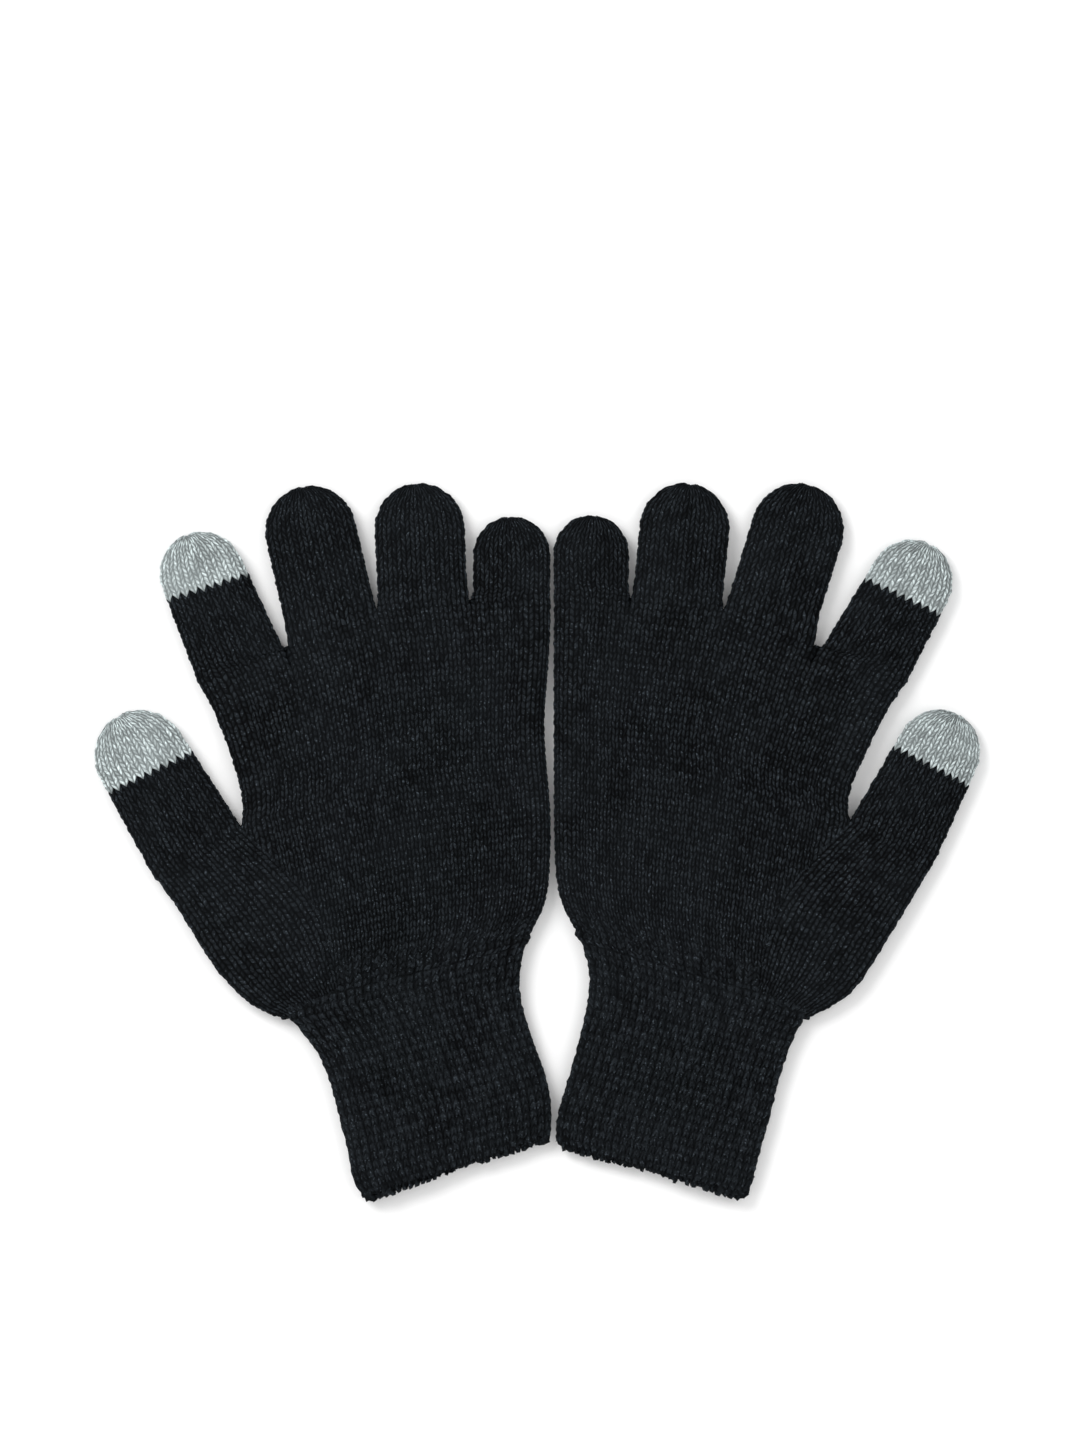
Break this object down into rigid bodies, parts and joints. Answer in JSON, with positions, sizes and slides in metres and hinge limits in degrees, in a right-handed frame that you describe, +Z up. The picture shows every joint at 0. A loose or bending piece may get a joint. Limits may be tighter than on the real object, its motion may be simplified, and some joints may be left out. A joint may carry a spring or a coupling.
{
  "type": "touchscreen gloves",
  "caption": "Pair of black knitted stretch gloves with ribbed elastic cuffs and grey conductive tips on thumb and index for using a touchscreen.",
  "frame": {"origin": "middle of the rectangle that the pair covers, on the surface it lies on", "axes": "+X across the pair from the left glove to the right, +Y towards the fingertips, +Z up out of the palms"},
  "size_m": [0.2738, 0.2221, 0.0092],
  "materials": {
    "black_knit": "matte plain knit of black acrylic yarn",
    "black_rib": "matte ribbed knit of black yarn",
    "overedge_thread": "matte looped black thread",
    "elastic_thread": "covered elastic thread",
    "conductive_knit": "soft pale grey conductive yarn, slight sheen",
    "tie_yarn": "knotted yarn ends"
  },
  "bodies": {
    "left_hand": {"left_hand": "black_knit"},
    "left_cuff": {"left_cuff": "black_rib", "left_cuff_edge": "overedge_thread", "left_cuff_elastic": "elastic_thread"},
    "left_thumb_lower": {"left_thumb_lower": "black_knit"},
    "left_thumb_upper": {"left_thumb_upper": "black_knit", "left_thumb_tip": "conductive_knit", "left_thumb_tie_ends": "tie_yarn"},
    "left_index_lower": {"left_index_lower": "black_knit"},
    "left_index_upper": {"left_index_upper": "black_knit", "left_index_tip": "conductive_knit", "left_index_tie_ends": "tie_yarn"},
    "left_middle_lower": {"left_middle_lower": "black_knit"},
    "left_middle_upper": {"left_middle_upper": "black_knit"},
    "left_ring_lower": {"left_ring_lower": "black_knit"},
    "left_ring_upper": {"left_ring_upper": "black_knit"},
    "left_little_lower": {"left_little_lower": "black_knit"},
    "left_little_upper": {"left_little_upper": "black_knit"},
    "right_hand": {"right_hand": "black_knit"},
    "right_cuff": {"right_cuff": "black_rib", "right_cuff_edge": "overedge_thread", "right_cuff_elastic": "elastic_thread"},
    "right_thumb_lower": {"right_thumb_lower": "black_knit"},
    "right_thumb_upper": {"right_thumb_upper": "black_knit", "right_thumb_tip": "conductive_knit", "right_thumb_tie_ends": "tie_yarn"},
    "right_index_lower": {"right_index_lower": "black_knit"},
    "right_index_upper": {"right_index_upper": "black_knit", "right_index_tip": "conductive_knit", "right_index_tie_ends": "tie_yarn"},
    "right_middle_lower": {"right_middle_lower": "black_knit"},
    "right_middle_upper": {"right_middle_upper": "black_knit"},
    "right_ring_lower": {"right_ring_lower": "black_knit"},
    "right_ring_upper": {"right_ring_upper": "black_knit"},
    "right_little_lower": {"right_little_lower": "black_knit"},
    "right_little_upper": {"right_little_upper": "black_knit"}
  },
  "joints": [
    {"name": "left_wrist_fold", "type": "hinge", "parent": "left_hand", "child": "left_cuff", "pos_m": [-0.04045, -0.0455, 0.0092], "axis": [-0.9702, -0.2422, 0], "range_deg": [0, 75]},
    {"name": "left_thumb_root_fold", "type": "hinge", "parent": "left_hand", "child": "left_thumb_lower", "pos_m": [-0.1051, -0.0029, 0.0092], "axis": [0.8572, 0.515, 0], "range_deg": [0, 70]},
    {"name": "left_thumb_middle_fold", "type": "hinge", "parent": "left_thumb_lower", "child": "left_thumb_upper", "pos_m": [-0.11551, 0.01466, 0.0092], "axis": [0.8572, 0.515, 0], "range_deg": [0, 80]},
    {"name": "left_index_root_fold", "type": "hinge", "parent": "left_hand", "child": "left_index_lower", "pos_m": [-0.0901, 0.0512, 0.0092], "axis": [0.9848, 0.1736, 0], "range_deg": [0, 90]},
    {"name": "left_index_middle_fold", "type": "hinge", "parent": "left_index_lower", "child": "left_index_upper", "pos_m": [-0.09798, 0.06971, 0.0092], "axis": [0.9848, 0.1736, 0], "range_deg": [0, 90]},
    {"name": "left_middle_root_fold", "type": "hinge", "parent": "left_hand", "child": "left_middle_lower", "pos_m": [-0.0638, 0.0689, 0.0092], "axis": [0.9848, 0.1736, 0], "range_deg": [0, 90]},
    {"name": "left_middle_middle_fold", "type": "hinge", "parent": "left_middle_lower", "child": "left_middle_upper", "pos_m": [-0.06774, 0.0861, 0.0092], "axis": [0.9848, 0.1736, 0], "range_deg": [0, 90]},
    {"name": "left_ring_root_fold", "type": "hinge", "parent": "left_hand", "child": "left_ring_lower", "pos_m": [-0.0354, 0.0739, 0.0092], "axis": [0.9848, 0.1736, 0], "range_deg": [0, 90]},
    {"name": "left_ring_middle_fold", "type": "hinge", "parent": "left_ring_lower", "child": "left_ring_upper", "pos_m": [-0.03608, 0.08953, 0.0092], "axis": [0.9848, 0.1736, 0], "range_deg": [0, 90]},
    {"name": "left_little_root_fold", "type": "hinge", "parent": "left_hand", "child": "left_little_lower", "pos_m": [-0.0079, 0.0735, 0.0092], "axis": [0.9848, 0.1736, 0], "range_deg": [0, 90]},
    {"name": "left_little_middle_fold", "type": "hinge", "parent": "left_little_lower", "child": "left_little_upper", "pos_m": [-0.0079, 0.085, 0.0092], "axis": [0.9848, 0.1736, 0], "range_deg": [0, 90]},
    {"name": "right_wrist_fold", "type": "hinge", "parent": "right_hand", "child": "right_cuff", "pos_m": [0.04855, -0.0453, 0.0092], "axis": [-0.9611, 0.2762, 0], "range_deg": [0, 75]},
    {"name": "right_thumb_root_fold", "type": "hinge", "parent": "right_hand", "child": "right_thumb_lower", "pos_m": [0.1097, 0.0004, 0.0092], "axis": [0.891, -0.454, 0], "range_deg": [0, 70]},
    {"name": "right_thumb_middle_fold", "type": "hinge", "parent": "right_thumb_lower", "child": "right_thumb_upper", "pos_m": [0.11819, 0.01685, 0.0092], "axis": [0.891, -0.454, 0], "range_deg": [0, 80]},
    {"name": "right_index_root_fold", "type": "hinge", "parent": "right_hand", "child": "right_index_lower", "pos_m": [0.0993, 0.052, 0.0092], "axis": [0.9816, -0.1908, 0], "range_deg": [0, 90]},
    {"name": "right_index_middle_fold", "type": "hinge", "parent": "right_index_lower", "child": "right_index_upper", "pos_m": [0.10891, 0.06903, 0.0092], "axis": [0.9816, -0.1908, 0], "range_deg": [0, 90]},
    {"name": "right_middle_root_fold", "type": "hinge", "parent": "right_hand", "child": "right_middle_lower", "pos_m": [0.0718, 0.0687, 0.0092], "axis": [0.9816, -0.1908, 0], "range_deg": [0, 90]},
    {"name": "right_middle_middle_fold", "type": "hinge", "parent": "right_middle_lower", "child": "right_middle_upper", "pos_m": [0.0772, 0.08623, 0.0092], "axis": [0.9816, -0.1908, 0], "range_deg": [0, 90]},
    {"name": "right_ring_root_fold", "type": "hinge", "parent": "right_hand", "child": "right_ring_lower", "pos_m": [0.0432, 0.0741, 0.0092], "axis": [0.9816, -0.1908, 0], "range_deg": [0, 90]},
    {"name": "right_ring_middle_fold", "type": "hinge", "parent": "right_ring_lower", "child": "right_ring_upper", "pos_m": [0.04476, 0.08959, 0.0092], "axis": [0.9816, -0.1908, 0], "range_deg": [0, 90]},
    {"name": "right_little_root_fold", "type": "hinge", "parent": "right_hand", "child": "right_little_lower", "pos_m": [0.01655, 0.0747, 0.0092], "axis": [0.9816, -0.1908, 0], "range_deg": [0, 90]},
    {"name": "right_little_middle_fold", "type": "hinge", "parent": "right_little_lower", "child": "right_little_upper", "pos_m": [0.01663, 0.08585, 0.0092], "axis": [0.9816, -0.1908, 0], "range_deg": [0, 90]},
    {"name": "right_glove_slide", "type": "slide", "parent": "left_hand", "child": "right_hand", "axis": [1, 0, 0], "range_m": [0, 0.15]}
  ]
}
